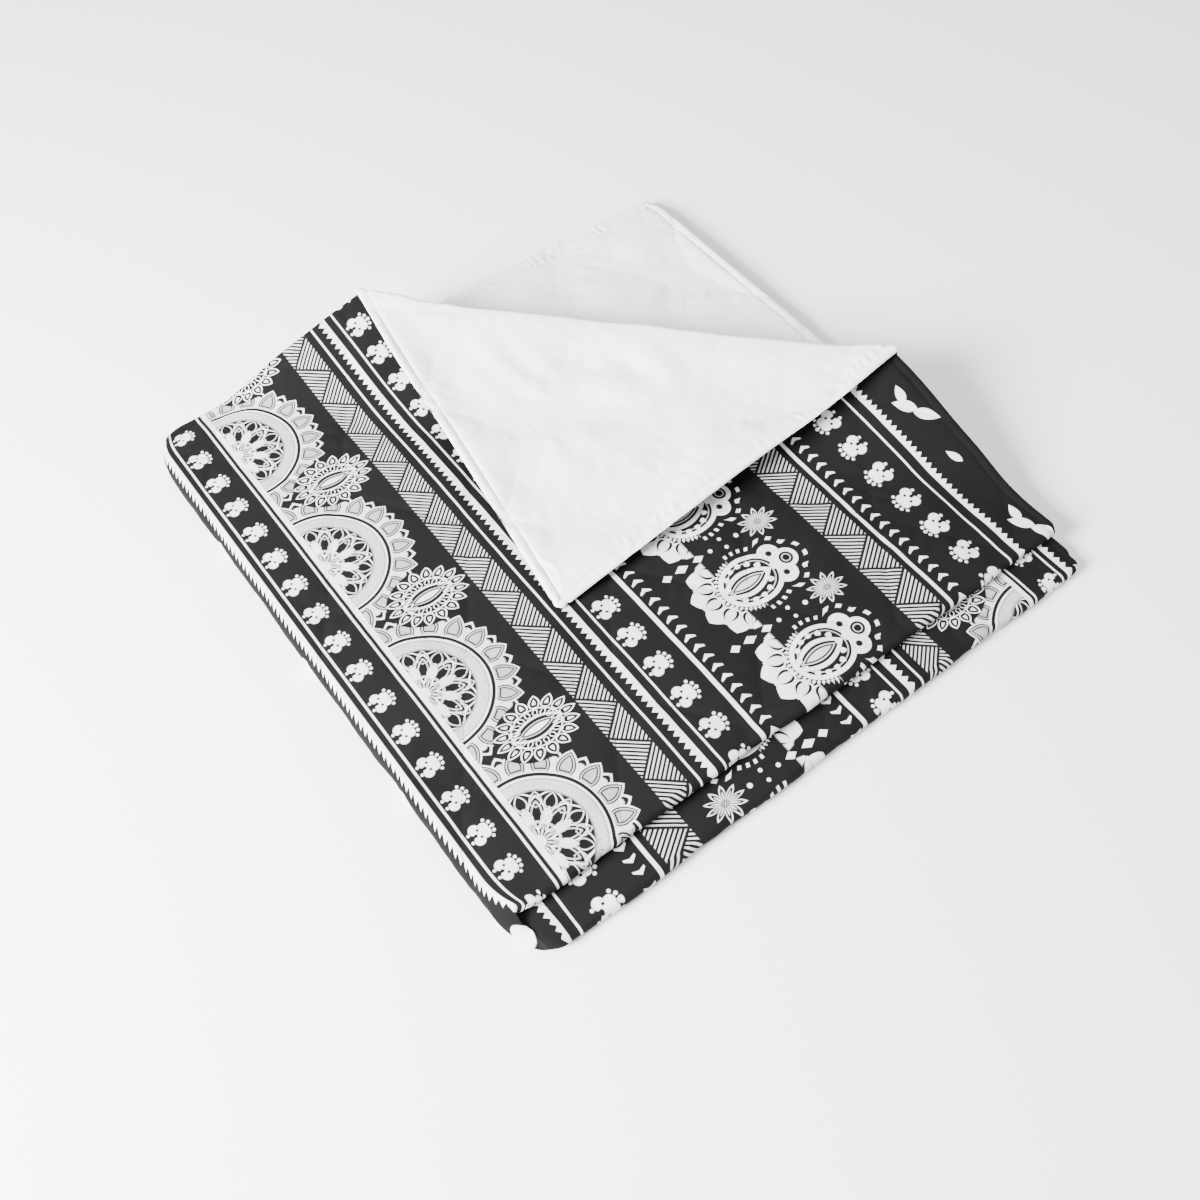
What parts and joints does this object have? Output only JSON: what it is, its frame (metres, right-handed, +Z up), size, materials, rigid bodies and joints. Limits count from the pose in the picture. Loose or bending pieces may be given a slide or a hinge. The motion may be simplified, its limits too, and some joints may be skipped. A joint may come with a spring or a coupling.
{
  "type": "quilted throw blanket",
  "caption": "Quilted throw folded in quarters with its printed face outside, one corner turned back to show the plain white backing.",
  "frame": {"origin": "under the middle of the folded throw, on the surface it lies on", "axes": "+X from the side fold across the stripes to the side hems, +Y from the front folds to the back hems, +Z up"},
  "size_m": [0.75, 0.78, 0.0915],
  "materials": {
    "face_cloth": "matt brushed polyester, near black, printed with white bands of folk ornament",
    "batting": "lofted white polyester fibre, hidden between the cloths",
    "backing_cloth": "smooth white microfibre with a soft sheen"
  },
  "bodies": {
    "lower_half": {"lower_face_cloth": "face_cloth", "lower_batting": "batting", "lower_backing_cloth": "backing_cloth", "side_fold_face_cloth": "face_cloth", "side_fold_batting": "batting", "side_fold_backing_cloth": "backing_cloth", "inner_fold_face_cloth": "face_cloth", "inner_fold_batting": "batting", "inner_fold_backing_cloth": "backing_cloth"},
    "upper_half": {"upper_face_cloth": "face_cloth", "upper_batting": "batting", "upper_backing_cloth": "backing_cloth"},
    "raised_strip": {"raised_face_cloth": "face_cloth", "raised_batting": "batting", "raised_backing_cloth": "backing_cloth", "crease_face_cloth": "face_cloth", "crease_batting": "batting", "crease_backing_cloth": "backing_cloth"},
    "turned_corner": {"corner_face_cloth": "face_cloth", "corner_batting": "batting", "corner_backing_cloth": "backing_cloth"}
  },
  "joints": [
    {"name": "side_fold_opens", "type": "hinge", "parent": "lower_half", "child": "upper_half", "pos_m": [-0.36055, 0, 0.01445], "axis": [0, -1, 0], "range_deg": [0, 165], "deforming": ["side_fold_face_cloth", "side_fold_batting", "side_fold_backing_cloth", "inner_fold_face_cloth", "inner_fold_batting", "inner_fold_backing_cloth"]},
    {"name": "raised_strip_lowers", "type": "hinge", "parent": "upper_half", "child": "raised_strip", "pos_m": [0.02767, 0.03382, 0.02905], "axis": [-0.6947, 0.7193, 0], "range_deg": [0, 17.4]},
    {"name": "corner_unfolds", "type": "hinge", "parent": "raised_strip", "child": "turned_corner", "pos_m": [0.2241, 0.08449, 0.08436], "axis": [-0.6947, 0.7193, 0], "range_deg": [0, 171.1], "deforming": ["crease_face_cloth", "crease_batting", "crease_backing_cloth"]}
  ],
  "couplings": [
    {"joint": "raised_strip_lowers", "follows": "corner_unfolds", "ratio": 0.10169}
  ]
}
